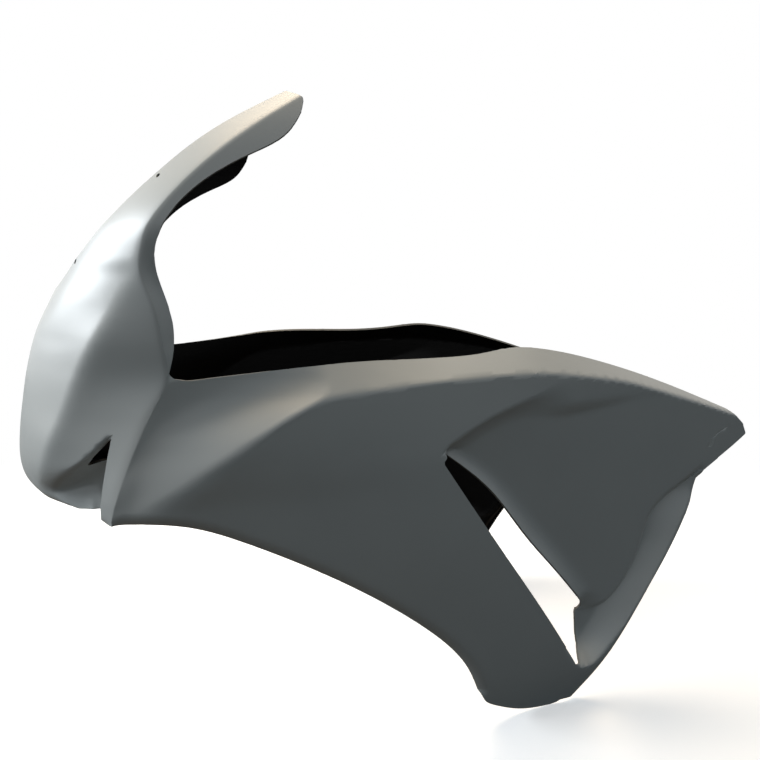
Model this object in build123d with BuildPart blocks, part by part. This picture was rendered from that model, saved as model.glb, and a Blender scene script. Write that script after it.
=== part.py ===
from build123d import *
import math
import os

# Motorcycle upper fairing: one thin laminate moulding, its left and right sides alike.
# Frame: X rearwards, Y to the rider's right, Z up, in millimetres.
# The origin is inside the nose, on the centre plane, where the front stay bears.

# Laminate, and how far the cutting solids reach past it
wall = 3.0
clear = 14.0
far_out = 260.0

# Windscreen fixing holes: two pairs beside the aperture, drilled square to the screen
screen_hole = 5.0
screen_rake = 40.0
screen_normal = (-math.sin(math.radians(screen_rake)), 0, math.cos(math.radians(screen_rake)))
front_hole = (74.0, 60.0, 156.0)
rear_hole = (162.0, 129.0, 243.0)

# Depth of the tank tab's seat in the rear panel
tab_seat = 1.5

# Foot of the fins beside the intakes, and underside of the lip
fin_foot = -114.0
lip_foot = -110.0

# Nose and arms at a few heights, from the foot of the fins up to the arm tips. Each row: height,
# nose line x, bend of the nose in plan, half width where it turns into the cheek, cheek edge x
# and half width, then the run and the turn of the flange behind that edge
nose_levels = [
    (fin_foot, 34.0, 0.0050, 48.0, 92.0, 160.0, 8.0, -14.0),
    (-108.0, 12.0, 0.0056, 52.0, 92.5, 161.0, 8.0, -14.0),
    (-101.0, 0.0, 0.0060, 55.0, 94.0, 162.0, 8.0, -14.0),
    (-88.0, -8.5, 0.0062, 59.0, 98.0, 162.0, 8.0, -14.0),
    (-66.0, -11.5, 0.0063, 64.0, 106.0, 160.0, 8.0, -14.0),
    (-36.0, -9.0, 0.0062, 74.0, 119.0, 157.0, 8.0, -14.0),
    (0.0, -wall, 0.0060, 87.0, 136.0, 157.0, 8.0, -14.0),
    (40.0, 5.5, 0.0055, 99.0, 156.0, 159.0, 12.0, -13.0),
    (80.0, 18.0, 0.0049, 112.0, 153.5, 161.5, 17.0, -15.0),
    (115.0, 36.0, 0.0041, 131.0, 147.5, 161.0, 24.0, -16.0),
    (145.0, 53.0, 0.0034, 148.0, 137.0, 156.5, 26.0, -3.0),
    (165.0, 63.0, 0.0030, 149.0, 136.5, 156.0, 26.0, 3.0),
    (200.0, 84.0, 0.0025, 153.0, 149.0, 161.0, 34.0, 9.0),
    (250.0, 121.0, 0.0026, 161.0, 195.5, 169.0, 60.0, 8.0),
    (297.0, 163.0, 0.0031, 166.0, 257.5, 174.0, 60.0, 6.0),
    (345.0, 240.0, 0.0031, 166.0, 334.0, 174.0, 50.0, 5.0),
]

# Side at a few heights. Each row: height, valley behind the cheek (x, half width), ridge
# (x, half width), and the half widths of the panel at the four panel stations
panel_stations = (400.0, 620.0, 800.0, 970.0)
side_levels = [
    (-470.0, 54.0, 112.0, 80.0, 118.0, 150.0, 170.0, 160.0, 150.0),
    (-380.0, 64.0, 130.0, 90.0, 136.0, 172.0, 190.0, 183.0, 162.0),
    (-280.0, 74.0, 146.0, 100.0, 152.0, 186.0, 199.0, 185.0, 166.0),
    (-180.0, 84.0, 158.0, 110.0, 165.0, 198.0, 201.0, 184.0, 168.0),
    (-100.0, 96.0, 161.0, 142.0, 178.0, 203.0, 200.0, 184.0, 171.0),
    (-66.0, 107.0, 159.0, 180.0, 191.0, 205.0, 199.0, 185.0, 172.0),
    (-36.0, 120.0, 156.0, 216.0, 199.0, 205.0, 198.0, 185.0, 172.0),
    (0.0, 137.0, 156.0, 282.0, 203.0, 204.5, 196.0, 184.0, 171.0),
    (40.0, 156.0, 158.0, 350.0, 205.0, 204.0, 195.0, 183.0, 170.0),
    (75.0, 154.0, 160.0, 380.0, 206.0, 205.5, 194.0, 182.0, 170.0),
]

# Shoulder along the side. Each row: x, height and half width of its crease, then how far
# the shoulder turns in and rises from there to the top edge
shoulder_stations = [
    (190.0, 19.0, 189.0, 24.0, 31.0),
    (262.0, 19.0, 189.5, 24.0, 31.0),
    (316.0, 19.5, 202.5, 24.0, 31.0),
    (400.0, 26.5, 202.5, 27.0, 23.0),
    (460.0, 29.0, 200.0, 32.0, 20.0),
    (530.0, 31.0, 196.0, 34.0, 22.0),
    (600.0, 28.0, 193.5, 31.0, 24.0),
    (700.0, 10.0, 189.0, 27.0, 19.0),
    (800.0, -18.0, 182.0, 21.0, 14.0),
    (900.0, -50.0, 177.0, 14.0, 8.0),
    (985.0, -80.0, 173.0, 12.0, 7.0),
]

# Recessed rear panel, ruled from the crease down. Each row: x, then height and half width
# at the crease, and half width at the foot of the ruling
panel_foot = -480.0
panel_rulings = [
    (430.0, 29.0, 199.0, 133.0),
    (500.0, 31.0, 196.5, 141.0),
    (573.0, 30.0, 193.0, 150.0),
    (680.0, 14.0, 188.0, 163.0),
    (780.0, -12.0, 182.0, 164.0),
    (861.0, -38.0, 177.0, 163.0),
    (985.0, -80.0, 170.0, 160.0),
]

# Lower channel and its bowl at a few heights. Each row: height, half width of the floor,
# x where the floor starts to rise, then x and half width where it meets the rim
channel_levels = [
    (-410.0, 178.0, 676.0, 690.0, 196.0),
    (-385.0, 169.0, 684.0, 704.0, 192.0),
    (-355.0, 163.0, 696.0, 722.0, 190.0),
    (-322.0, 161.0, 716.0, 748.0, 187.0),
    (-280.0, 160.0, 754.0, 783.0, 185.0),
    (-240.0, 160.0, 774.0, 812.0, 183.0),
    (-200.0, 160.0, 790.0, 836.0, 180.0),
    (-160.0, 161.0, 826.0, 857.0, 177.0),
    (-120.0, 163.0, 872.0, 884.0, 175.0),
]


def smooth(rows, where):
    # Values of a smooth curve through the rows, at this height or station
    i = max(0, min(len(rows) - 2, sum(1 for row in rows[1:-1] if row[0] <= where)))
    span = rows[i + 1][0] - rows[i][0]
    t = (where - rows[i][0]) / span

    def lean(j, column):
        before, after = rows[max(j - 1, 0)], rows[min(j + 1, len(rows) - 1)]
        return (after[column] - before[column]) / (after[0] - before[0])

    values = []
    for column in range(1, len(rows[0])):
        start, end = rows[i][column], rows[i + 1][column]
        leave, arrive = lean(i, column) * span, lean(i + 1, column) * span
        change = end - start
        values.append(
            start
            + t * leave
            + t**2 * (3 * change - 2 * leave - arrive)
            + t**3 * (leave + arrive - 2 * change)
        )
    return values


def evenly(low, high, count):
    return [low + (high - low) * i / (count - 1) for i in range(count)]


def front_form(inset):
    # Solid from the nose skin to the centre plane, drawn in by the inset
    with BuildPart() as form:
        foot = lip_foot + inset if inset else fin_foot
        for z in evenly(foot, nose_levels[-1][0], 26):
            nose_x, bend, turn, cheek_x, cheek_y, run, turn_in = smooth(nose_levels, z)
            rake = smooth(nose_levels, z + 1)[0] - smooth(nose_levels, z)[0]
            draw = inset * min(math.hypot(1.0, rake), 1.5)
            slope = 2 * bend * turn
            square = math.hypot(1.0, slope)
            turn_x = nose_x + bend * turn**2 + draw / square
            turn_y = turn - draw * slope / square
            middle_y = turn_y - (turn_x - nose_x - draw) / slope
            cheek_x, cheek_y = cheek_x + 0.3 * inset, cheek_y - 1.25 * inset
            reach = 1.0 + (clear / math.hypot(run, turn_in) if inset else 0.0)
            back_x, back_y = cheek_x + reach * run, cheek_y + reach * turn_in
            with BuildSketch(Plane.XY.offset(z)):
                with BuildLine():
                    Bezier((nose_x + draw, 0), (nose_x + draw, -middle_y), (turn_x, -turn_y))
                    Polyline(
                        (turn_x, -turn_y),
                        (cheek_x, -cheek_y),
                        (back_x, -back_y),
                        (back_x, 0),
                        (nose_x + draw, 0),
                    )
                make_face()
        loft()
    return form.part


def side_form(inset):
    # Solid from the side skin to the centre plane, drawn in by the inset
    with BuildPart() as form:
        for z in evenly(side_levels[0][0], side_levels[-1][0], 20):
            valley_x, valley_y, ridge_x, ridge_y, *widths = smooth(side_levels, z)
            valley_x, valley_y = valley_x + inset, valley_y - inset
            ridge_x, ridge_y = ridge_x + 0.5 * inset, ridge_y - 1.15 * inset
            run, rise = ridge_x - valley_x, ridge_y - valley_y
            tail_x = panel_stations[-1] + 2 * inset
            stations = (*panel_stations[:-1], tail_x)
            with BuildSketch(Plane.XY.offset(z)):
                with BuildLine():
                    Bezier(
                        (valley_x, -valley_y),
                        (valley_x + 0.40 * run, -valley_y + 0.02 * run),
                        (valley_x + 0.72 * run, -valley_y - 0.38 * rise),
                        (ridge_x, -ridge_y),
                    )
                    Spline(
                        (ridge_x, -ridge_y),
                        *[(x, inset - width) for x, width in zip(stations, widths)],
                    )
                    Polyline(
                        (tail_x, inset - widths[-1]),
                        (tail_x, 0),
                        (valley_x, 0),
                        (valley_x, -valley_y),
                    )
                make_face()
        loft()
    return form.part


def above_shoulder(inset):
    # What the shoulder cuts off the side, lowered by the inset for the inner skin
    low, high = shoulder_stations[0][0], shoulder_stations[-1][0]
    with BuildPart() as cut:
        for x in evenly(low, high, 18):
            crease_z, crease_y, turn_in, rise = smooth(shoulder_stations, x)
            length = math.hypot(turn_in, rise)
            crease_y, crease_z = crease_y - inset * rise / length, crease_z - inset * turn_in / length
            with BuildSketch(Plane.YZ.offset(x)):
                Polygon(
                    (-crease_y + 3 * turn_in, crease_z + 3 * rise),
                    (-crease_y - turn_in, crease_z - rise),
                    (-far_out, crease_z - rise),
                    (-far_out, crease_z + 4 * rise),
                    (-crease_y + 3 * turn_in, crease_z + 4 * rise),
                    align=None,
                )
        loft()
    return cut.part


def moved(points, x, z):
    return [(point[0] + x, point[1] + z) for point in points]


def vent_front():
    # Front edge of the vent slot, in side view: a plain cut edge
    return Spline((450, -69), (525, -179), (604, -293), (650, -363), (662, -382))


def channel_step(grow):
    # Step from the rear panel down into the channel, in side view
    points = [(868, -134), (826, -158), (797, -176), (783, -198)]
    points += [(772, -238), (752, -281), (720, -312), (676, -318)]
    return Spline(*moved(points, -0.75 * grow, 0.65 * grow))


def rear_panel_area(grow):
    # Side view of the rear panel: the vent's roof, the slot, the channel's step and the tail
    with BuildSketch(Plane.XZ) as area:
        with BuildLine():
            points = moved([(646, 26), (579, 2), (508, -22), (457, -48)], -0.35 * grow, 0.94 * grow)
            roof = Spline(*points, tangents=((-1, -0.3), (-1, -0.7)))
            front = vent_front()
            step = channel_step(0)
            ThreePointArc(roof @ 1, (448 - 0.8 * grow, -57 + 0.6 * grow), front @ 0)
            Polyline(front @ 1, (668, -340), step @ 1)
            Polyline(step @ 0, (990, -100), (990, 60), (646, 60), roof @ 0)
        make_face()
    return area.sketch


def channel_area(grow):
    # Side view of the channel and the bowl below the rear panel
    with BuildSketch(Plane.XZ) as area:
        with BuildLine():
            step = channel_step(grow)
            bowl = [(662, -382), (672, -389), (686, -391), (702, -383), (720, -366)]
            foot = Spline(*moved(bowl, 0, -grow))
            Polyline(step @ 1, (632, -318), (636, -340), foot @ 0)
            Polyline(foot @ 1, (760, -340), (990, -340), (990, -134), step @ 0)
        make_face()
    return area.sketch


def rear_recess(inset):
    # What the recessed rear panel takes off the side
    with BuildPart() as cut:
        for x in evenly(panel_rulings[0][0], panel_rulings[-1][0], 10):
            crease_z, crease_y, foot_y = smooth(panel_rulings, x)
            lean = (crease_y - foot_y) / (crease_z - panel_foot)
            top_z = crease_z + 3 * clear
            top_y = crease_y + 3 * clear * lean
            with BuildSketch(Plane.YZ.offset(x)):
                Polygon(
                    (inset - top_y, top_z),
                    (inset - foot_y, panel_foot),
                    (-far_out, panel_foot),
                    (-far_out, top_z),
                    align=None,
                )
        loft()
        extrude(rear_panel_area(inset), amount=far_out, mode=Mode.INTERSECT)
    return cut.part


def channel_recess(inset):
    # What the lower channel and its bowl take off the side
    with BuildPart() as cut:
        for z in evenly(channel_levels[0][0], channel_levels[-1][0], 14):
            floor_y, rise_x, rim_x, rim_y = smooth(channel_levels, z)
            with BuildSketch(Plane.XY.offset(z)):
                Polygon(
                    (600, inset - floor_y),
                    (rise_x, inset - floor_y),
                    (3 * rim_x - 2 * rise_x, inset - 3 * rim_y + 2 * floor_y),
                    (3 * rim_x - 2 * rise_x, -far_out - 40),
                    (600, -far_out - 40),
                    align=None,
                )
        loft()
        extrude(channel_area(inset), amount=far_out, mode=Mode.INTERSECT)
    return cut.part


def tab_recess():
    # Seat that the tank's tab is bonded to, sunk in the tail of the rear panel
    with BuildPart() as cut:
        add(rear_recess(tab_seat))
        with BuildSketch(Plane.XZ):
            with BuildLine():
                Polyline(
                    (884, -98),
                    (882, -90),
                    (894, -81),
                    (912, -74),
                    (990, -74),
                    (990, -140),
                    (910, -130),
                    (884, -98),
                )
            make_face()
        extrude(amount=far_out, mode=Mode.INTERSECT)
    return cut.part


def intake_pocket(inset):
    # Air intake beside the nose: it deepens rearwards, and its wall rolls out into the lip
    rolls = ((lip_foot - 12, 29.0), (lip_foot, 19.0), (-98.0, 9.0), (-88.0, 2.0), (-76.0, 0.0), (20.0, 0.0))
    with BuildPart() as cut:
        for z, out in rolls:
            with BuildSketch(Plane.XY.offset(z)):
                with BuildLine():
                    Spline(
                        (-34 + inset, -8 + inset - out),
                        (36 + inset / 2, -48 + inset - out),
                        (72 + inset, -76 + inset - out),
                        (90 + inset, -112 + inset),
                    )
                    Polyline(
                        (90 + inset, -112 + inset),
                        (94 + inset, -180),
                        (94 + inset, -far_out),
                        (-34 + inset, -far_out),
                        (-34 + inset, -8 + inset - out),
                    )
                make_face()
        loft(ruled=True)
        with BuildSketch(Plane.XZ):
            with BuildLine():
                Polyline((-40, lip_foot - 12), (-40, -104 + inset), (2, -86 + inset))
                Spline((2, -86 + inset), (33, -72 + inset), (62, -53 + inset), (100 + inset, -15 + inset))
                Polyline(
                    (100 + inset, -15 + inset),
                    (93 + inset, -40),
                    (86 + inset, -72),
                    (82 + inset, -96),
                    (81 + inset, lip_foot - 12),
                    (-40, lip_foot - 12),
                )
            make_face()
        extrude(amount=far_out, mode=Mode.INTERSECT)
    return cut.part


def skin():
    # Outer forms less the same forms drawn in by the wall
    with BuildPart() as outer:
        add(side_form(0.0))
        add(above_shoulder(0.0), mode=Mode.SUBTRACT)
        add(rear_recess(0.0), mode=Mode.SUBTRACT)
        add(channel_recess(0.0), mode=Mode.SUBTRACT)
        add(tab_recess(), mode=Mode.SUBTRACT)
        add(front_form(0.0))
        add(intake_pocket(0.0), mode=Mode.SUBTRACT)
    with BuildPart() as inner:
        add(side_form(wall))
        add(above_shoulder(wall), mode=Mode.SUBTRACT)
        add(rear_recess(wall), mode=Mode.SUBTRACT)
        add(channel_recess(wall), mode=Mode.SUBTRACT)
        add(front_form(wall))
        add(intake_pocket(wall), mode=Mode.SUBTRACT)
    with BuildPart() as shell:
        add(outer.part)
        add(inner.part, mode=Mode.SUBTRACT)
    return shell.part


with BuildPart() as half:
    add(skin())

    # Side view of the free edges: arm, cockpit, top edge, tail, rear edge, foot and wheel arch
    with BuildSketch(Plane.XZ):
        with BuildLine():
            Polyline((-40, -60), (-40, 370), (250, 370), (283, 336), (301, 320), (297, 306))
            Spline((297, 306), (280, 283), (259, 270))
            Spline((259, 270), (187, 227), (151, 168), (164, 105), (163, 63), (158, 45))
            Polyline((158, 45), (163, 40), (176, 37))
            Spline(
                (176, 37),
                (258, 44),
                (324, 50),
                (440, 49),
                (520, 51),
                (566, 55),
                (607, 51),
                (692, 31),
                (794, -2),
                (914, -49),
            )
            Polyline((914, -49), (938, -72), (947, -87), (922, -104), (872, -133), (862, -144))
            Spline((862, -144), (837, -202), (775, -296), (729, -357), (687, -413), (663, -441))
            Polyline((663, -441), (646, -440), (643, -443), (632, -444))
            Spline((632, -444), (590, -440), (546, -423), (530, -412), (523, -400))
            Polyline((523, -400), (519, -394))
            Spline(
                (519, -394),
                (502, -357),
                (438, -283),
                (353, -215),
                (225, -137),
                (150, -111),
                (88, fin_foot),
            )
            Polyline((88, fin_foot), (82, fin_foot + 2), (82, lip_foot), (-40, lip_foot), (-40, -60))
        make_face()
    extrude(amount=far_out, mode=Mode.INTERSECT)

    # Windscreen aperture, seen from above
    with BuildSketch(Plane.XY.offset(60)):
        with BuildLine():
            Spline(
                (43, 0),
                (66, -51),
                (107, -94),
                (161, -123),
                (224, -140),
                (292, -152),
                tangents=((0, -1), (1, -0.15)),
            )
            Polyline((292, -152), (400, -160), (400, 0), (43, 0))
        make_face()
    extrude(amount=400, mode=Mode.SUBTRACT)

    # Underside of the nose, open behind the lip
    with BuildSketch(Plane.XY.offset(-116)):
        with BuildLine():
            Polyline((28, 0), (28, -26), (62, -58), (86, -78), (90, -138), (220, -138), (220, 0), (28, 0))
        make_face()
    extrude(amount=16, mode=Mode.SUBTRACT)

    # Vent slot between the side and the rear panel
    with BuildSketch(Plane.XZ):
        with BuildLine():
            front = vent_front()
            rear = Spline((680, -304), (627, -241), (573, -179), (521, -114), (458, -61))
            ThreePointArc(rear @ 1, (451, -62), front @ 0)
            Polyline(front @ 1, (671, -384), (679, -366), (677, -331), (676, -319))
            ThreePointArc((676, -319), (682, -313), rear @ 0)
        make_face()
    extrude(amount=far_out, mode=Mode.SUBTRACT)

    # Air passage through the pocket's wall
    with BuildSketch(Plane.XZ.offset(40)):
        with BuildLine():
            Polyline((54, -60), (100, -18), (86, -72), (54, -60))
        make_face()
    extrude(amount=100, mode=Mode.SUBTRACT)

    # Windscreen fixing holes
    for x, y, z in (front_hole, rear_hole):
        with Locations(Plane(origin=(x, -y, z), z_dir=screen_normal)):
            Cylinder(radius=screen_hole / 2, height=10 * wall, mode=Mode.SUBTRACT)

with BuildPart() as fairing_shell:
    add(half.part)
    mirror(about=Plane.XZ)

os.makedirs("parts", exist_ok=True)
fairing_shell.part.label = "fairing_shell"
export_step(fairing_shell.part, "parts/fairing_shell.step")
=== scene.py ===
import math

import bmesh
import bpy
import numpy as np
from mathutils import Matrix, Vector


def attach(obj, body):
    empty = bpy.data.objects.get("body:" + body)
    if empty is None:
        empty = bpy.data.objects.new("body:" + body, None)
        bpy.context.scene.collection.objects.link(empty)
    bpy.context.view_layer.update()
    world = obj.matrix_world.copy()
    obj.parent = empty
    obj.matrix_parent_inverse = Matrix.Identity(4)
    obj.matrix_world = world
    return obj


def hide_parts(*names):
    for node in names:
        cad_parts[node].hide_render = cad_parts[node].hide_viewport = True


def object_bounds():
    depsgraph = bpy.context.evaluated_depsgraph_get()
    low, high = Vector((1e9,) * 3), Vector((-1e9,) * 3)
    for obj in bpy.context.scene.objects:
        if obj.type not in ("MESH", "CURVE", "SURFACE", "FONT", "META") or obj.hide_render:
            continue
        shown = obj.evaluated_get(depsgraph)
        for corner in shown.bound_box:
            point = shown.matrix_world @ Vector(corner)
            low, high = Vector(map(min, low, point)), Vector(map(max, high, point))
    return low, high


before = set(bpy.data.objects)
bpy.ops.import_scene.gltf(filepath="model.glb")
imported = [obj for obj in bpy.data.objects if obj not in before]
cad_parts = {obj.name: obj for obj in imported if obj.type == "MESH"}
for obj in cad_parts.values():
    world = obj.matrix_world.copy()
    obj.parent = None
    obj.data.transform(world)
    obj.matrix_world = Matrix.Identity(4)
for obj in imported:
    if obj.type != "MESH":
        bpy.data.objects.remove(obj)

cad_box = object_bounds()

# The moulding: nose, windscreen arms, intakes and side panels. The real piece is one laminate of
# chopped glass mat behind a grey gelcoat, laid up in a mould, so all of it is one skin. The skin is
# given by sections in millimetres: nose and cheek in front, then the side or the arm's flange.

mm = 0.001

# Heights of the fins' foot, the lip's underside and the arms' top; x behind which nothing is left
fin_foot = -114
lip_foot = -110
arm_top = 346
tail_end = 985

# Height, nose line x, bend of the nose in plan, half width where it turns into the cheek, cheek
# edge x and half width, then the run and the turn of the flange behind that edge
nose_levels = [
    (-114, 34.0, 0.00399, 53, 92.0, 153.0, 8, -12),
    (-108, 12.0, 0.00456, 60, 92.5, 154.0, 8, -12),
    (-101, 0.0, 0.00499, 65, 94.0, 155.0, 8, -12),
    (-88, -8.5, 0.00500, 72, 98.0, 156.5, 8, -12),
    (-66, -11.5, 0.00482, 82, 106.0, 157.0, 8, -14),
    (-36, -9.0, 0.00465, 93, 119.0, 157.0, 8, -14),
    (0, -3.0, 0.00481, 104, 136.0, 157.0, 8, -14),
    (40, 5.5, 0.00473, 114, 156.0, 159.0, 12, -11),
    (80, 18.0, 0.00430, 127, 153.5, 161.5, 17, -12),
    (115, 36.0, 0.00390, 138, 147.5, 161.0, 24, -12),
    (145, 53.0, 0.0034, 148, 137.0, 156.5, 26, -1),
    (165, 63.0, 0.0030, 149, 136.5, 156.0, 26, 5),
    (200, 84.0, 0.0025, 153, 149.0, 161.0, 34, 12),
    (250, 121.0, 0.0026, 161, 195.5, 169.0, 60, 17),
    (297, 163.0, 0.0031, 166, 257.5, 174.0, 60, 17),
    (345, 240.0, 0.0031, 166, 334.0, 174.0, 50, 14),
]

# Height, valley behind the cheek (x, half width), ridge (x, half width), and the half widths of
# the panel at the four panel stations
panel_stations = (400, 620, 800, 970)
side_levels = [
    (-470, 54, 112, 80, 118, 150.0, 170, 160, 150),
    (-380, 64, 130, 90, 136, 172.0, 190, 183, 162),
    (-280, 74, 146, 100, 152, 186.0, 199, 185, 166),
    (-180, 84, 158, 110, 165, 198.0, 201, 184, 168),
    (-100, 96, 157, 142, 178, 203.0, 200, 184, 171),
    (-66, 107, 158, 180, 191, 205.0, 199, 185, 172),
    (-36, 120, 156, 216, 199, 205.0, 198, 185, 172),
    (0, 137, 156, 273, 203, 204.5, 196, 184, 171),
    (40, 156, 158, 350, 205, 204.0, 195, 183, 170),
    (75, 154, 160, 380, 206, 205.5, 194, 182, 170),
]

# x, height and half width of the shoulder's crease, and how far it turns in and rises from there
shoulder_stations = [
    (190, 19.0, 189.0, 24, 31),
    (262, 19.0, 189.5, 24, 31),
    (316, 19.5, 202.5, 24, 31),
    (400, 26.5, 202.5, 27, 23),
    (460, 29.0, 200.0, 32, 20),
    (530, 31.0, 196.0, 34, 22),
    (600, 28.0, 193.5, 31, 24),
    (700, 10.0, 189.0, 27, 19),
    (800, -18.0, 182.0, 21, 14),
    (900, -50.0, 177.0, 14, 8),
    (985, -80.0, 173.0, 12, 7),
]

# Recessed rear panel: x, height and half width at its crease, half width at the rulings' foot
rulings_foot = -480
panel_rulings = [
    (430, 29, 199.0, 133),
    (500, 31, 196.5, 141),
    (573, 30, 193.0, 150),
    (680, 14, 188.0, 163),
    (780, -12, 182.0, 164),
    (861, -38, 177.0, 163),
    (985, -80, 170.0, 160),
]

# Channel below it: height, half width of its floor, x where the floor rises, rim x and half width
channel_levels = [
    (-410, 178, 676, 690, 196),
    (-385, 169, 684, 704, 192),
    (-355, 163, 696, 722, 190),
    (-322, 161, 716, 748, 187),
    (-280, 160, 754, 783, 185),
    (-240, 160, 774, 812, 183),
    (-200, 160, 790, 836, 180),
    (-160, 161, 826, 857, 174),
    (-120, 163, 872, 884, 171),
]


def eased_curve(t, leave, arrive, change):
    # How far a smooth curve has gone at t from 0 to 1, with these slopes at its ends
    return t * leave + t**2 * (3 * change - 2 * leave - arrive) + t**3 * (leave + arrive - 2 * change)


def sections(rows, where):
    # Every column of a table of sections, on a smooth curve through its rows
    rows = np.array(rows, float)
    where = np.asarray(where, float)
    at, values = rows[:, 0], rows[:, 1:]
    before = np.maximum(np.arange(len(at)) - 1, 0)
    after = np.minimum(np.arange(len(at)) + 1, len(at) - 1)
    lean = (values[after] - values[before]) / (at[after] - at[before])[:, None]
    i = np.clip(np.searchsorted(at, where, side="right") - 1, 0, len(at) - 2)
    span = at[i + 1] - at[i]
    t = ((where - at[i]) / span)[..., None]
    leave, arrive = lean[i] * span[..., None], lean[i + 1] * span[..., None]
    change = values[i + 1] - values[i]
    return np.moveaxis(values[i] + eased_curve(t, leave, arrive, change), -1, 0)


def spline(points, count=40):
    # Smooth curve through a few points, as evenly spaced points
    points = np.array(points, float)
    chord = np.concatenate([[0], np.cumsum(np.hypot(*np.diff(points, axis=0).T))])
    gap = np.diff(chord)
    last = len(points) - 1
    system, ask = np.eye(last + 1), np.zeros_like(points)
    for i in range(1, last):
        system[i, i - 1 : i + 2] = gap[i - 1], 2 * (gap[i - 1] + gap[i]), gap[i]
        ask[i] = 6 * ((points[i + 1] - points[i]) / gap[i] - (points[i] - points[i - 1]) / gap[i - 1])
    bend = np.linalg.solve(system, ask)
    where = np.linspace(0, chord[-1], count)
    i = np.clip(np.searchsorted(chord, where, side="right") - 1, 0, last - 1)
    b = ((where - chord[i]) / gap[i])[:, None]
    a = 1 - b
    curved = ((a**3 - a) * bend[i] + (b**3 - b) * bend[i + 1]) * (gap[i] ** 2)[:, None] / 6
    return a * points[i] + b * points[i + 1] + curved


def outline(*pieces):
    # One line of points from points and lines laid end to end
    return np.vstack([np.atleast_2d(piece) for piece in pieces])


def distance_to(line, x, z):
    # How far a point lies from a line
    nearest = np.full(x.shape, 1e9)
    for (ax, az), (bx, bz) in zip(line[:-1], line[1:]):
        run, rise = bx - ax, bz - az
        length2 = max(run**2 + rise**2, 1e-9)
        t = np.clip(((x - ax) * run + (z - az) * rise) / length2, 0, 1)
        nearest = np.minimum(nearest, np.hypot(x - ax - t * run, z - az - t * rise))
    return nearest


def depth_in(line, x, z):
    # How far a point lies inside a closed outline, and below zero outside it
    closed = np.vstack([line, line[:1]])
    inside = np.zeros(x.shape, bool)
    for (ax, az), (bx, bz) in zip(closed[:-1], closed[1:]):
        rise = bz - az or 1e-9
        inside ^= ((az > z) != (bz > z)) & (x < ax + (z - az) * (bx - ax) / rise)
    nearest = distance_to(closed, x, z)
    return np.where(inside, nearest, -nearest)


def soft_lower(a, b, soft):
    # The lower of two surfaces, with a round of this softness where they cross
    return np.minimum(a, b) - np.maximum(soft - abs(a - b), 0) ** 2 / (4 * soft)


def soft_higher(a, b, soft):
    # The higher of them, rounded in the same way
    return np.maximum(a, b) + np.maximum(soft - abs(a - b), 0) ** 2 / (4 * soft)


# Free edges of the moulding in side view, x and height in millimetres. The real ones are trimmed
# along scribed lines once the laminate is out of the mould.

top_points = [(176, 37), (258, 44), (324, 50), (440, 49), (520, 51), (566, 55)]
top_points += [(607, 51), (692, 31), (794, -2), (914, -49)]
top_edge = spline(top_points, 90)
tail_edge = [(942, -72), (951, -88), (926, -104), (876, -133)]
rear_edge = spline([(866, -144), (841, -202), (779, -296), (735, -357), (695, -413), (672, -441)], 60)
foot_points = [(632, -444), (590, -440), (546, -423), (530, -412), (523, -400)]
foot_edge = outline([(646, -440), (643, -443)], spline(foot_points, 30))
arch_points = [(519, -394), (502, -357), (438, -284), (353, -218), (225, -142)]
arch_edge = spline(arch_points + [(150, fin_foot), (88, fin_foot)], 90)
free_edges = outline(
    [(-60, -60), (-60, 370), (250, 370), (283, 336), (301, 320)],
    spline([(297, 306), (280, 283), (259, 270)], 12),
    spline([(259, 270), (187, 227), (151, 168), (164, 105), (163, 63), (158, 45)], 50)[1:],
    [(163, 40)],
    top_edge,
    tail_edge,
    rear_edge,
    foot_edge,
    arch_edge,
    [(82, -112), (82, lip_foot), (-60, lip_foot)],
)

# Vent slot, the recessed panel behind it, and the step down into the channel and its bowl
slot_front = spline([(450, -69), (525, -179), (604, -293), (650, -363), (662, -382)])
slot_rear = spline([(680, -304), (627, -241), (573, -179), (521, -114), (458, -61)])
slot_edge = outline(
    [(458, -61), (451, -62)],
    slot_front,
    [(671, -384), (679, -366), (677, -331), (676, -319), (680, -316), (682, -310)],
    slot_rear[:-1],
)
step_start, step_foot = (868, -134), (676, -318)
step_points = [(826, -158), (797, -176), (783, -198), (772, -238), (752, -281), (720, -312)]
channel_step = spline([step_start] + step_points + [step_foot])
roof = spline([(646, 26), (579, 2), (508, -22), (457, -48)], 24)
rear_panel = outline(
    roof,
    [(450, -55), (456, -66)],
    slot_rear[::-1] - (4, 3),
    [(668, -340), (668, -500), (1100, -500), (1100, 90), (646, 90)],
)
channel = outline(channel_step, [(640, -318), (640, -500), (1100, -500), (1100, -134)])
bowl_foot = outline(
    [(560, 100), (600, -300), (648, -363), (662, -382), (672, -389), (686, -391)],
    [(702, -383), (722, -368), (790, -350), (1100, -350), (1100, 100)],
)

# Scribed outline of the tank tab's seat at the tail
tab_line = np.array([(881, -99), (882, -90), (894, -81), (910, -74)], float)
tab = outline(tab_line, [(1000, -74), (1000, -150), (910, -130)])
scribe_half, scribe_depth, tab_seat = 1.7, 1.3, 0.6

# Top of the intake's mouth, front edge of the fin (height, x), the passage through the intake's
# wall, and one side of the windscreen aperture (x, half width)
mouth_top = outline(
    spline([(-20, -93), (2, -86), (33, -72), (62, -53), (100, -15), (120, 6)]),
    [(200, 6), (200, -200), (-60, -200), (-60, -93)],
)
fin_edge = [(-130, 80.5), (-96, 82), (-72, 86), (-40, 93), (-15, 100), (10, 108), (34, -100)]
passage = np.array([(70, -57), (78, -45), (100, -21), (108, -21), (98, -50)], float)
aperture_side = spline([(43, 0), (44.5, 14), (66, 51), (107, 94), (161, 123), (224, 140), (292, 152)], 60)
aperture = outline(aperture_side, [(420, 170), (420, -170)], (aperture_side * (1, -1))[::-1])


def side_values(z):
    # The side's sections, held at the table's ends
    return sections(side_levels, np.clip(z, side_levels[0][0], side_levels[-1][0]))


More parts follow.
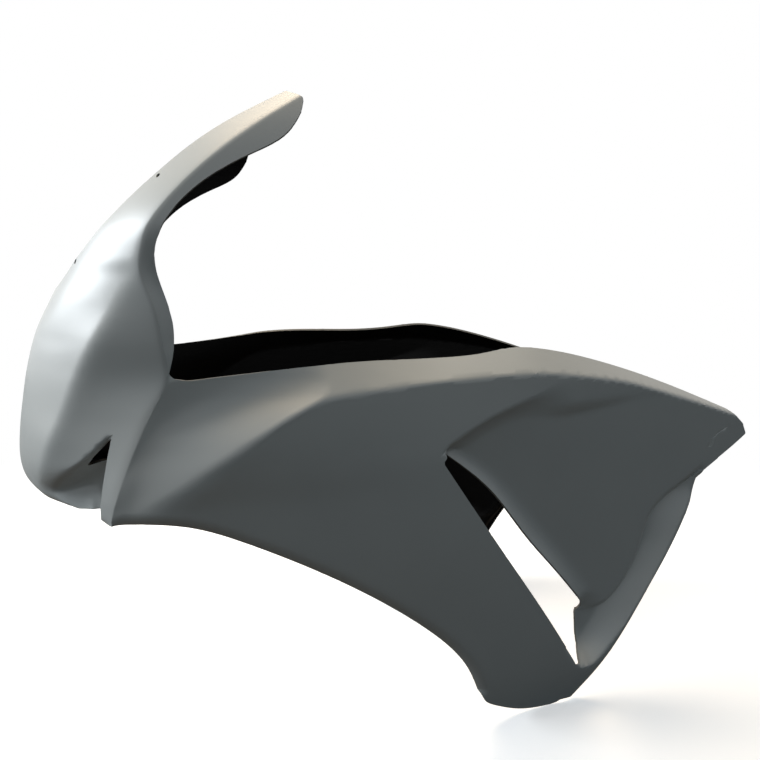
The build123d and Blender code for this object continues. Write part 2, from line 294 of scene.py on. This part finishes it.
def shoulder_values(x):
    # The shoulder's crease, held at the table's ends
    return sections(shoulder_stations, np.clip(x, shoulder_stations[0][0], tail_end))


def ease(t):
    # From 0 to 1 without a corner at either end
    t = np.clip(t, 0, 1)
    return t**2 * (3 - 2 * t)


def roll(distance, reach, drop):
    # How far a surface has rolled in, this near its free edge
    return drop * (1 - np.clip(distance / reach, 0, 1)) ** 2


def side_skin(x, z, which="side"):
    # Half width of the side at a point of the side view, before its free edges roll in
    valley_x, valley_y, ridge_x, ridge_y, *widths = sections(side_levels, z)

    # From the valley to the ridge: a curve across, flatter above, with its slope held past the ridge
    run, rise = ridge_x - valley_x, ridge_y - valley_y
    top = ease((z + 30) / 50)
    hold, reach, lift = 0.2 + 0.25 * top, 0.5 + 0.17 * top, 0.4 - 0.18 * top
    across = np.clip((x - valley_x) / run, 0, 1)
    t = across
    for _ in range(8):
        short = 3 * hold * t * (1 - t) ** 2 + 3 * reach * t**2 * (1 - t) + t**3 - across
        slope = 3 * hold * (1 - t) * (1 - 3 * t) + 3 * reach * t * (2 - 3 * t) + 3 * t**2
        t = np.clip(t - short / slope, 0, 1)
    front = valley_y + 3 * lift * t**2 * (1 - t) * rise + t**3 * rise
    front = front + (1 - lift) / (1 - reach) * rise / run * np.maximum(x - ridge_x, 0)

    # From the ridge back: a smooth curve through the panel stations, with its slope held in front
    rear = np.zeros_like(x)
    at = [ridge_x] + [np.full_like(x, station) for station in panel_stations]
    height = [ridge_y] + list(widths)
    slopes = []
    for i in range(5):
        a, b = max(i - 1, 0), min(i + 1, 4)
        slopes.append((height[b] - height[a]) / (at[b] - at[a]))
    for i in range(4):
        gap = at[i + 1] - at[i]
        t = (x - at[i]) / gap
        if i == 0:
            t = np.maximum(t, 0)
        leave, arrive, change = slopes[i] * gap, slopes[i + 1] * gap, height[i + 1] - height[i]
        part = height[i] + eased_curve(t, leave, arrive, change)
        rear = np.where((t >= 0) | (i == 0), part, rear)
    rear = rear + slopes[0] * np.minimum(x - ridge_x, 0)
    skin = soft_lower(front, rear, 3 + 9 * ease((10 - z) / 110))

    # The shoulder leans in above its crease
    crease_z, crease_y, turn_in, climb = shoulder_values(x)
    shoulder = crease_y - (z - crease_z) * turn_in / climb

    # The recessed panel's wall is steep beside the slot and fades out along the roof behind it
    if which in ("side", "tab"):
        crease_z, crease_y, foot_y = sections(panel_rulings, np.clip(x, panel_rulings[0][0], tail_end))
        floor = foot_y + (z - rulings_foot) * (crease_y - foot_y) / (crease_z - rulings_foot)
        steep = 1.3 - 1.15 * ease((x - 525) / 110) * ease((z + 70) / 60)
        wall = skin - steep * depth_in(rear_panel, x, z)
        skin = soft_lower(skin, soft_higher(floor, wall, 16), 3)

    # The channel's floor rises to its rim, and its step runs out at the tail
    if which == "channel":
        floor_y, rise_x, rim_x, rim_y = sections(channel_levels, z)
        rising = floor_y + (x - rise_x) * (rim_y - floor_y) / (rim_x - rise_x)
        floor = soft_higher(floor_y, rising, 8)
        wall = skin - 1.2 * depth_in(bowl_foot, x, z)
        skin = soft_lower(skin, soft_higher(floor, wall, 12), 2)
        runs_out = ease(1 - np.hypot(x - step_start[0], z - step_start[1]) / 50)
        skin = skin + runs_out * (173 - skin)
    return soft_lower(skin, shoulder, 3.5)


def seam_at(z):
    # Edge of the cheek and arm, where the front of the moulding meets its side
    valley_x, valley_y = side_values(z)[:2]
    cheek_x, cheek_y = sections(nose_levels, np.clip(z, fin_foot, arm_top))[3:5]
    below = np.clip((fin_foot - z) / 40, 0, 1)
    return cheek_x + below * (valley_x - cheek_x), cheek_y + below * (valley_y - cheek_y)


def seam_round(x, z):
    # The moulded round along that edge: wider beside the valley, tight up the arm
    gap = abs(x - seam_at(z)[0])
    low = ease((45 - z) / 40)
    return low * roll(gap, reach=10, drop=1.2) + (1 - low) * roll(gap, reach=5, drop=0.7)


def flange_skin(x, z):
    # Half width of the arm's flange behind the cheek's edge
    cheek_x, cheek_y, run, turn_in = sections(nose_levels, np.clip(z, 0, arm_top))[3:]
    return cheek_y + (x - cheek_x) * turn_in / run


def rear_skin(x, z, which):
    # Half width behind the cheek: the side, with the arm's flange above it
    low_z = np.clip(z, side_levels[0][0], side_levels[-1][0])
    side = side_skin(x, low_z, which)
    side = side - roll(distance_to(arch_edge, x, z), reach=15, drop=7)
    side = side - roll(distance_to(rear_edge, x, z), reach=9, drop=3.5)
    if which != "channel":
        beside_slot = np.clip(depth_in(rear_panel, x, z) / 4, 0, 1)
        side = side - beside_slot * roll(distance_to(slot_rear, x, z), reach=24, drop=9)
        beside_step = np.clip(depth_in(rear_panel, x, z) / 8, 0, 1)
        side = side - beside_step * roll(distance_to(channel_step, x, z), reach=11, drop=4.5)
        runs_out = ease(1 - np.hypot(x - step_foot[0], z - step_foot[1]) / 38)
        side = side + runs_out * (161.5 - side)
    side = side - scribe_depth * np.clip(scribe_half - distance_to(tab_line, x, z), 0, 1)
    if which == "tab":
        side = side - tab_seat
    above = ease((z - 38 - 0.15 * (x - 160)) / 10)
    return side + above * (flange_skin(x, z) - side)


def nose_skin(z, y):
    # Nose line x at a half width. It is the mean over 18 mm, which softens the turn into the cheek,
    # and is exact again at the cheek's edge.
    nose_x, bend, turn, cheek_x, cheek_y = sections(nose_levels, z)[:5]
    turn_x = nose_x + bend * turn**2
    soft = np.zeros_like(y)
    for shift, share in ((-9, 1), (-4.5, 4), (0, 6), (4.5, 4), (9, 1)):
        at = abs(y + shift)
        straight = turn_x + (at - turn) * (cheek_x - turn_x) / (cheek_y - turn)
        bowed = nose_x + bend * turn**2 * (at / turn) ** (1.4 + 0.6 * ease((z - 70) / 70))
        skin = np.where(at < turn, bowed, straight)
        soft = soft + share / 16 * skin
        if shift == 0:
            exact = skin
    return soft + ease((y - cheek_y + 16) / 16) * (exact - soft)


def pocket_skin(x, z, skin):
    # The intake beside the nose: its wall leads the air inwards and rolls out into the lip
    wall_line = spline([(-34, 30), (10, 60), (40, 72), (72, 84), (90, 112)], 60)
    wall_y = np.interp(x, wall_line[:, 0], wall_line[:, 1])
    wall_y = wall_y + np.clip(x - 90, 0, 20) * 3
    rolled = 19 * np.clip((-74 - z) / 36, 0, 2) ** 2
    wall_y = wall_y + rolled * np.clip((90 - x) / 18, 0, 1)
    ceiling = skin - (0.6 + 0.9 * ease((x - 20) / 50)) * depth_in(mouth_top, x, z)
    return soft_lower(skin, soft_higher(wall_y, ceiling, 10), 4 + 10 * ease((60 - x) / 50))


# One half of the skin, cut to its edges and split along its steps.
# Heights of the rows, closest round the lip; gaps of the columns behind the seam, and shares of the
# half width in front of it, both closest beside it
levels = np.concatenate(
    [np.arange(-470, fin_foot, 4.0), np.arange(fin_foot, -86, 2.0), np.arange(-86, arm_top + 1, 4.0)]
)
seam_gaps = np.concatenate([[0, 0.9, 2, 3.6, 6, 9.5], np.arange(14, 960, 5.2)])
front_shares = np.concatenate([np.linspace(0, 0.955, 40), [0.972, 0.984, 0.9925, 1]])


def grid(x, y, z):
    # Points and triangles of a sheet given by rows and columns
    rows, columns = x.shape
    index = np.arange(rows * columns).reshape(rows, columns)
    a, b, c, d = index[:-1, :-1], index[:-1, 1:], index[1:, 1:], index[1:, :-1]
    faces = np.concatenate([np.stack([a, b, c], -1).reshape(-1, 3), np.stack([a, c, d], -1).reshape(-1, 3)])
    return np.stack([x, y, z], -1).reshape(-1, 3), faces


def cut(skin, measure, line=0.0, snap=0.25):
    # Cut the triangles along the line where the measure has this value; says which lie above it
    points, faces, labels = skin
    height = measure(*points.T) - line
    height = np.where(abs(height) < snap, 0, height)
    side = np.sign(height)
    corner = side[faces]
    crossing = (corner.min(1) < 0) & (corner.max(1) > 0)
    points, made, new_faces, new_labels = list(points), {}, [], []

    def between(a, b):
        if side[b] == 0:
            return b
        key = (min(a, b), max(a, b))
        if key not in made:
            t = height[a] / (height[a] - height[b])
            made[key] = len(points)
            points.append(points[a] * (1 - t) + points[b] * t)
        return made[key]

    for face, label in zip(faces[crossing], labels[crossing]):
        for a, b, c in (face, np.roll(face, -1), np.roll(face, -2)):
            if side[a] and side[a] * side[b] <= 0 and side[a] * side[c] <= 0:
                ab, ac = between(a, b), between(a, c)
                halves = [(a, ab, ac)]
                halves += [(ab, b, c)] if ab != b else []
                halves += [(ab, c, ac)] if ac != c else []
                new_faces += halves
                new_labels += [label] * len(halves)
                break
    faces = np.concatenate([faces[~crossing], np.array(new_faces, int).reshape(-1, 3)])
    labels = np.concatenate([labels[~crossing], np.array(new_labels, int)])
    side = np.concatenate([side, np.zeros(len(points) - len(side))])
    return (np.array(points), faces, labels), side[faces].max(1) > 0


def trim(skin, measure):
    # Keep what lies above zero by this measure
    (points, faces, labels), above = cut(skin, measure)
    return points, faces[above], labels[above]


def score(skin, measure, *lines):
    # Run the triangles' edges along a crease, so that it stays even along its length
    for line in lines:
        skin, _ = cut(skin, measure, line, snap=0.9)
    return skin


# Parts of the skin that follow different surfaces: the side, the nose and cheek, the front of them
# that the intake opens, the channel and the tab's seat
SIDE, NOSE, FRONT, CHANNEL, TAB = range(5)

# Behind the seam
z = np.repeat(levels[:, None], len(seam_gaps), 1)
x = seam_at(levels)[0][:, None] + seam_gaps
points, faces = grid(x, np.zeros_like(x), z)
rear = points, faces, np.full(len(faces), SIDE)
rear = trim(rear, lambda x, y, z: depth_in(free_edges, x, z) + 5)
rear = trim(rear, lambda x, y, z: tail_end - x)
rear = score(rear, lambda x, y, z: x - side_values(z)[2], -5, 0, 5)
rear = score(rear, lambda x, y, z: z - shoulder_values(x)[0], -4, 0, 4)
rear = score(rear, lambda x, y, z: depth_in(rear_panel, x, z), 0, 3, 7, 12, 18, 25)
rear = score(rear, lambda x, y, z: depth_in(bowl_foot, x, z), 0, 4, 9, 14)
rear = trim(rear, lambda x, y, z: depth_in(free_edges, x, z))
rear = trim(rear, lambda x, y, z: -depth_in(slot_edge, x, z))
rear = score(rear, lambda x, y, z: distance_to(arch_edge, x, z), 1.5, 4, 8, 13)
rear = score(rear, lambda x, y, z: distance_to(rear_edge, x, z), 1.5, 4, 8)
rear = score(rear, lambda x, y, z: distance_to(slot_rear, x, z), 2, 5, 9, 14, 20)
rear = score(rear, lambda x, y, z: distance_to(channel_step, x, z), 2, 5, 9)
for half in (0.7, scribe_half):
    rear, _ = cut(rear, lambda x, y, z: distance_to(tab_line, x, z), half, snap=0.15)
rear, in_channel = cut(rear, lambda x, y, z: depth_in(channel, x, z))
rear[2][in_channel] = CHANNEL
rear, in_tab = cut(rear, lambda x, y, z: depth_in(tab, x, z))
rear[2][in_tab & (rear[2] == SIDE)] = TAB

# In front of the seam
front_levels = levels[levels >= fin_foot]
z = np.repeat(front_levels[:, None], len(front_shares), 1)
y = sections(nose_levels, front_levels)[4][:, None] * front_shares
points, faces = grid(nose_skin(z, y), y, z)
front = points, faces, np.full(len(faces), NOSE)
front = trim(front, lambda x, y, z: depth_in(free_edges, x, z))
front = trim(front, lambda x, y, z: -depth_in(aperture, x, y))
fin_z, fin_x = np.array(fin_edge).T
front, behind = cut(front, lambda x, y, z: x - np.interp(z, fin_z, fin_x))
front[2][~behind] = FRONT
front = score(front, lambda x, y, z: depth_in(mouth_top, x, z), -2, 2, 6, 10, 16)
front, open_air = cut(front, lambda x, y, z: depth_in(passage, x, z))
kept = ~(open_air & (front[2] == FRONT))
front = front[0], front[1][kept], front[2][kept]


def half_width(points, label):
    # Half width of a part of the skin at each of its points
    x, y, z = points.T
    if label == NOSE:
        return y - seam_round(x, z)
    if label == FRONT:
        return pocket_skin(x, z, y)
    return rear_skin(x, z, {SIDE: "side", TAB: "tab", CHANNEL: "channel"}[label])


def seam_closed(points, width):
    # Bring the rear skin onto the seam
    x, y, z = points.T
    seam_x, seam_y = seam_at(z)
    at_seam = rear_skin(seam_x, z, "side")
    closed = width + (seam_y - at_seam) * np.clip(1 - (x - seam_x) / 12, 0, 1) ** 2
    return closed - seam_round(x, z)


# The left half as a mesh, with a narrow wall wherever two parts meet at a step
left_skin = bmesh.new()
for skin, labels_used in ((front, (NOSE, FRONT)), (rear, (SIDE, CHANNEL, TAB))):
    points, faces, labels = skin
    corners = {}
    for label in labels_used:
        width = half_width(points, label)
        if skin is rear:
            width = seam_closed(points, width)
        used = np.unique(faces[labels == label])
        for i in used:
            place = Vector((points[i, 0], -width[i], points[i, 2])) * mm
            corners[i, label] = left_skin.verts.new(place)
    sides = {}
    for (a, b, c), label in zip(faces, labels):
        left_skin.faces.new([corners[i, label] for i in (a, b, c)])
        for i, j in ((a, b), (b, c), (c, a)):
            sides[i, j] = label
    for (i, j), label in sides.items():
        other = sides.get((j, i), label)
        if other > label:
            wall = [corners[j, label], corners[i, label], corners[i, other], corners[j, other]]
            left_skin.faces.new(wall)
bmesh.ops.remove_doubles(left_skin, verts=left_skin.verts, dist=0.35 * mm)

# Underside of the nose. The real lip is moulded with the rest and turns in behind the intakes, where
# its edge is left plain.


def on_lip(edge):
    return edge.is_boundary and all(abs(vert.co.z - lip_foot * mm) < 1e-5 for vert in edge.verts)


lip_line = [edge for edge in left_skin.edges if on_lip(edge)]

# Inner edge of the lip (x, half width), and the half widths of the outer edge beside these points
inner_x, inner_y = np.array([(28, 0), (31, 26), (62, 58), (84, 76), (86, 84)]).T
inner_at = np.array([0, 44, 79, 95, 104])
turned_in = {}
for edge in lip_line:
    ends = []
    for vert in (edge.link_loops[0].vert, edge.link_loops[0].link_loop_next.vert):
        if vert not in turned_in:
            across = -vert.co.y / mm
            inner_corner = np.interp(across, inner_at, inner_x), -np.interp(across, inner_at, inner_y)
            inner = Vector((*inner_corner, lip_foot - 2)) * mm
            middle = vert.co.lerp(inner, 0.5) + Vector((0, 0, -1.2)) * mm
            turned_in[vert] = left_skin.verts.new(middle), left_skin.verts.new(inner)
        ends.append((vert, *turned_in[vert]))
    (a, a_middle, a_inner), (b, b_middle, b_inner) = ends
    left_skin.faces.new([b, a, a_middle, b_middle])
    left_skin.faces.new([b_middle, a_middle, a_inner, b_inner])

# The right half mirrors the left, and the laminate gets its thickness on the inner side
laminate_thickness = 3.0
left_half = left_skin.verts[:] + left_skin.edges[:] + left_skin.faces[:]
mirrored = bmesh.ops.duplicate(left_skin, geom=left_half)["geom"]
for part in mirrored:
    if isinstance(part, bmesh.types.BMVert):
        part.co.y = -part.co.y
right_faces = [part for part in mirrored if isinstance(part, bmesh.types.BMFace)]
bmesh.ops.reverse_faces(left_skin, faces=right_faces)
bmesh.ops.remove_doubles(left_skin, verts=left_skin.verts, dist=0.05 * mm)
for face in left_skin.faces:
    face.smooth = True
skin_mesh = bpy.data.meshes.new("fairing_skin")
left_skin.to_mesh(skin_mesh)
skin_piece = bpy.data.objects.new("fairing_skin", skin_mesh)
bpy.context.scene.collection.objects.link(skin_piece)
thickness = skin_piece.modifiers.new("laminate", "SOLIDIFY")
thickness.thickness = laminate_thickness * mm
thickness.offset = -1
inside, trimmed = 1, 2
thickness.material_offset = inside
thickness.material_offset_rim = trimmed

# Screen fixings: two pairs of plain holes for the windscreen's screws. They are drilled through the
# finished laminate, square to the screen, so their walls show bare laminate.
screen_rake = math.radians(40)
screen_normal = Vector((-math.sin(screen_rake), 0, math.cos(screen_rake)))
square_to_screen = screen_normal.to_track_quat("Z", "Y").to_matrix().to_4x4()
hole_radius, drill_length = 2.5 * mm, 30 * mm
drills = bmesh.new()
for x, y, z in ((74, 60, 156), (162, 129, 243)):
    for y in (y, -y):
        stand = Matrix.Translation(Vector((x, y, z)) * mm) @ square_to_screen
        bmesh.ops.create_cone(
            drills,
            segments=32,
            radius1=hole_radius,
            radius2=hole_radius,
            depth=drill_length,
            cap_ends=True,
            matrix=stand,
        )
for face in drills.faces:
    face.material_index = trimmed
drill_mesh = bpy.data.meshes.new("screen_drills")
drills.to_mesh(drill_mesh)
drill_piece = bpy.data.objects.new("screen_drills", drill_mesh)
bpy.context.scene.collection.objects.link(drill_piece)
holes = skin_piece.modifiers.new("screen_holes", "BOOLEAN")
holes.operation = "DIFFERENCE"
holes.solver = "EXACT"
holes.object = drill_piece


# Finishes of the moulding: gelcoat on the mould side, bare laminate inside, and the trimmed edge.
# The gelcoat is sprayed into the polished mould and the glass mat is laid up behind it by hand, so
# the outside is even and satin and the inside rough.

def linear(hex_colour):
    # sRGB hex to the linear colour that a shader takes
    parts = [int(hex_colour[i : i + 2], 16) / 255 for i in (1, 3, 5)]
    return [v / 12.92 if v <= 0.04045 else ((v + 0.055) / 1.055) ** 2.4 for v in parts] + [1.0]


def add(material, kind, settings=None, **inputs):
    # One node, with its settings and with each input set to a value or linked to a socket
    node = material.node_tree.nodes.new(kind)
    for name, value in (settings or {}).items():
        setattr(node, name, value)
    for name, value in inputs.items():
        socket = node.inputs[int(name[1:])] if name[0] == "_" else node.inputs[name.replace("_", " ")]
        if isinstance(value, bpy.types.NodeSocket):
            material.node_tree.links.new(value, socket)
        else:
            socket.default_value = value
    return node


def finish_named(name):
    # A new material without nodes
    material = bpy.data.materials.new(name)
    material.use_nodes = True
    material.node_tree.nodes.clear()
    return material


# Grey primer gelcoat, as it comes out of the mould: an even, satin mid grey. Soft cloudy patches of
# 111 mm, long waves of the laminate of 45 mm and a fine peel of 1.4 mm break up its broad highlights
# (9, 22 and 700 to a metre).
gelcoat = finish_named("grey primer gelcoat")
place = add(gelcoat, "ShaderNodeTexCoord").outputs["Object"]
clouds, waves, peels = 9.0, 22.0, 700.0
cloud = add(gelcoat, "ShaderNodeTexNoise", Vector=place, Scale=clouds, Detail=3.0, Roughness=0.5)
shade = add(
    gelcoat,
    "ShaderNodeMix",
    {"data_type": "RGBA"},
    Factor=cloud.outputs[0],
    _6=linear("#A3A6A5"),
    _7=linear("#ABAEAC"),
)
ripple = add(gelcoat, "ShaderNodeTexNoise", Vector=place, Scale=waves, Detail=2.0)
peel = add(gelcoat, "ShaderNodeTexNoise", Vector=place, Scale=peels, Detail=2.0)
wave = add(gelcoat, "ShaderNodeBump", Strength=0.25, Distance=0.8 * mm, Height=ripple.outputs[0])
skin_bump = add(
    gelcoat,
    "ShaderNodeBump",
    Strength=0.12,
    Distance=0.1 * mm,
    Height=peel.outputs[0],
    Normal=wave.outputs[0],
)
coat = add(
    gelcoat,
    "ShaderNodeBsdfPrincipled",
    Base_Color=shade.outputs[2],
    Roughness=0.36,
    IOR=1.5,
    Normal=skin_bump.outputs[0],
)
add(gelcoat, "ShaderNodeOutputMaterial", Surface=coat.outputs[0])

# Black laminate inside: chopped strands of glass mat show faintly through black resin, as short
# crossing streaks, nearly without shine. Real strands are under 1 mm wide and 50 mm long. They are
# drawn 2.4 mm wide and 40 mm long (420 and 25 to a metre), as finer ones would not show.
bare_laminate = finish_named("black glass mat laminate")
place = add(bare_laminate, "ShaderNodeTexCoord").outputs["Object"]
along_strand, across_strand = 25, 420
highest = {"operation": "MAXIMUM"}
strands = None
for turn in (12, 71, 133):
    lie = add(
        bare_laminate,
        "ShaderNodeMapping",
        Vector=place,
        Rotation=(0, math.radians(turn), 0),
        Scale=(along_strand, along_strand, across_strand),
    )
    bundle = add(bare_laminate, "ShaderNodeTexNoise", Vector=lie.outputs[0], Scale=1.0, Detail=1.0)
    if strands:
        strands = add(bare_laminate, "ShaderNodeMath", highest, _0=strands.outputs[0], _1=bundle.outputs[0])
    else:
        strands = bundle
resin_tint = add(
    bare_laminate,
    "ShaderNodeMix",
    {"data_type": "RGBA"},
    Factor=strands.outputs[0],
    _6=linear("#030303"),
    _7=linear("#101010"),
)
mat_bump = add(bare_laminate, "ShaderNodeBump", Strength=0.6, Distance=0.6 * mm, Height=strands.outputs[0])
resin = add(
    bare_laminate,
    "ShaderNodeBsdfPrincipled",
    Base_Color=resin_tint.outputs[2],
    Roughness=0.5,
    IOR=1.5,
    Specular_IOR_Level=0.1,
    Normal=mat_bump.outputs[0],
)
add(bare_laminate, "ShaderNodeOutputMaterial", Surface=resin.outputs[0])

# Trimmed edge: sanded laminate, a dull mid grey line between the gelcoat and the black inside
cut_edge = finish_named("trimmed laminate edge")
edge_look = add(cut_edge, "ShaderNodeBsdfPrincipled", Base_Color=linear("#6E6E6A"), Roughness=0.6, IOR=1.5)
add(cut_edge, "ShaderNodeOutputMaterial", Surface=edge_look.outputs[0])

for material in (gelcoat, bare_laminate, cut_edge):
    skin_mesh.materials.append(material)

# The finished moulding as one plain mesh, standing for the whole CAD shell
depsgraph = bpy.context.evaluated_depsgraph_get()
finished = bpy.data.meshes.new_from_object(skin_piece.evaluated_get(depsgraph))
skin_piece.modifiers.clear()
bpy.data.objects.remove(drill_piece)
skin_piece.data = finished
finished.set_sharp_from_angle(angle=math.radians(38))

# The cut edge of the air passage, inside the intake, is given the black inside material instead of the grey
# of the trimmed edge
for face in finished.polygons:
    x, y, z = face.center / mm
    in_intake = 60 < x < 115 and 60 < abs(y) < 145 and -65 < z < -15
    if face.material_index == trimmed and in_intake:
        face.material_index = inside
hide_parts("fairing_shell")
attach(skin_piece, "root")


# Studio floor: a plain sheet of white paper, just under the moulding's foot. The eye sees it lit,
# with the shadow, and fading to plain white further off; to every other ray it is a dull brown
# floor, which keeps the moulding's underside as dark as a room's floor does.
floor_mesh = bpy.data.meshes.new("floor")
floor_z = cad_box[0][2] - 2 * mm
floor_corners = [(-6, -6, floor_z), (7, -6, floor_z), (7, 6, floor_z), (-6, 6, floor_z)]
floor_mesh.from_pydata(floor_corners, [], [(0, 1, 2, 3)])
floor = bpy.data.objects.new("floor", floor_mesh)
bpy.context.scene.collection.objects.link(floor)
paper = finish_named("white paper sweep")
place = add(paper, "ShaderNodeTexCoord").outputs["Object"]
away = add(paper, "ShaderNodeVectorMath", {"operation": "DISTANCE"}, _0=place, _1=(0.45, 0, floor_z))
far = add(paper, "ShaderNodeMapRange", Value=away.outputs["Value"], From_Min=0.7, From_Max=1.5)
lit = add(paper, "ShaderNodeBsdfDiffuse", Color=linear("#F4F4F4"))
glow = add(paper, "ShaderNodeEmission", Color=linear("#FFFFFF"), Strength=0.45)
near_white = add(paper, "ShaderNodeAddShader", _0=lit.outputs[0], _1=glow.outputs[0])
white = add(paper, "ShaderNodeEmission", Color=linear("#FFFFFF"), Strength=1.0)
sweep = add(paper, "ShaderNodeMixShader", _0=far.outputs[0], _1=near_white.outputs[0], _2=white.outputs[0])
bounce = add(paper, "ShaderNodeBsdfDiffuse", Color=linear("#4A433B"))
eye = add(paper, "ShaderNodeLightPath").outputs["Is Camera Ray"]
seen = add(paper, "ShaderNodeMixShader", _0=eye, _1=bounce.outputs[0], _2=sweep.outputs[0])
add(paper, "ShaderNodeOutputMaterial", Surface=seen.outputs[0])
floor_mesh.materials.append(paper)

# Studio light: a cool room, a window in front of the nose and a warm lamp above. The background is
# white to the eye and in the gelcoat's reflections.
world = bpy.data.worlds.new("studio")
bpy.context.scene.world = world
world.use_nodes = True
world.node_tree.nodes.clear()
rays = add(world, "ShaderNodeLightPath").outputs
direct = add(world, "ShaderNodeMath", highest, _0=rays["Is Camera Ray"], _1=rays["Is Glossy Ray"])
direct = add(world, "ShaderNodeMath", highest, _0=direct.outputs[0], _1=rays["Is Transmission Ray"])
white = add(world, "ShaderNodeBackground", Color=linear("#FFFFFF"), Strength=1.0)
room = add(world, "ShaderNodeBackground", Color=linear("#B8C6D0"), Strength=0.5)
seen = add(world, "ShaderNodeMixShader", _0=direct.outputs[0], _1=room.outputs[0], _2=white.outputs[0])
add(world, "ShaderNodeOutputWorld", Surface=seen.outputs[0])


def softbox(name, place, aim, size, watts, colour):
    # A flat rectangular lamp turned to its aim
    lamp = bpy.data.lights.new(name, "AREA")
    lamp.shape = "RECTANGLE"
    lamp.size, lamp.size_y = size
    lamp.energy = watts
    lamp.color = linear(colour)[:3]
    holder = bpy.data.objects.new(name, lamp)
    holder.location = place
    holder.rotation_euler = (Vector(place) - Vector(aim)).to_track_quat("Z", "Y").to_euler()
    bpy.context.scene.collection.objects.link(holder)


softbox("window", (-2.2, 0.95, 1.05), (0.2, 0, 0), (1.5, 1.2), 92, "#F4FAFF")
softbox("ceiling", (0.1, 0.5, 2.3), (0.4, 0, 0), (1.6, 1.6), 54, "#FFE6C4")

# Camera at the photograph's angle, close to the left side. Its focal length is 651 pixels on the
# photograph's frame of 760.
camera_data = bpy.data.cameras.new("camera")
camera = bpy.data.objects.new("camera", camera_data)
bpy.context.scene.collection.objects.link(camera)
bpy.context.scene.camera = camera
camera_data.sensor_width = 36
camera_data.lens = 36 * 651 / 760
aim = Vector((0.372, -0.204, 0.034))
azimuth, elevation = math.radians(-20), math.radians(10.6)
back = Vector(
    (math.sin(azimuth) * math.cos(elevation), -math.cos(azimuth) * math.cos(elevation), math.sin(elevation))
)
camera.location = aim + 0.7 * back
camera.rotation_euler = back.to_track_quat("Z", "Y").to_euler()
bpy.context.scene.view_settings.view_transform = "Standard"
